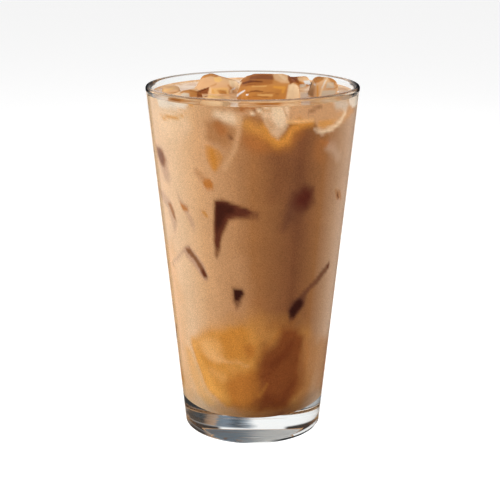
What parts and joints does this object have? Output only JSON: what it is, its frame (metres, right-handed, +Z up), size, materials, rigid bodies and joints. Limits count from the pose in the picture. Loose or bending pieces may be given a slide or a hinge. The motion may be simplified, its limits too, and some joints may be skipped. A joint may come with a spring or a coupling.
{
  "type": "iced latte",
  "caption": "Iced milky coffee in a clear, straight-sided pint glass, filled nearly to the brim, with melting ice standing out of the drink.",
  "frame": {"origin": "middle of the glass's foot, on the surface that it stands on", "axes": "+Z up along the glass's axis; -Y is the side that the front view shows, with the largest block of ice near it"},
  "size_m": [0.0888, 0.0888, 0.1548],
  "materials": {
    "glass": "clear, smooth",
    "latte": "opaque milky coffee with a wet surface",
    "ice": "wet, melting, tinted by the coffee"
  },
  "bodies": {
    "root": {"glass": "glass", "latte": "latte", "ice_centre": "ice", "ice_left": "ice", "ice_front_left": "ice", "ice_front": "ice", "ice_right": "ice", "ice_back_right": "ice", "ice_far_left": "ice", "ice_back_left": "ice"}
  },
  "joints": []
}
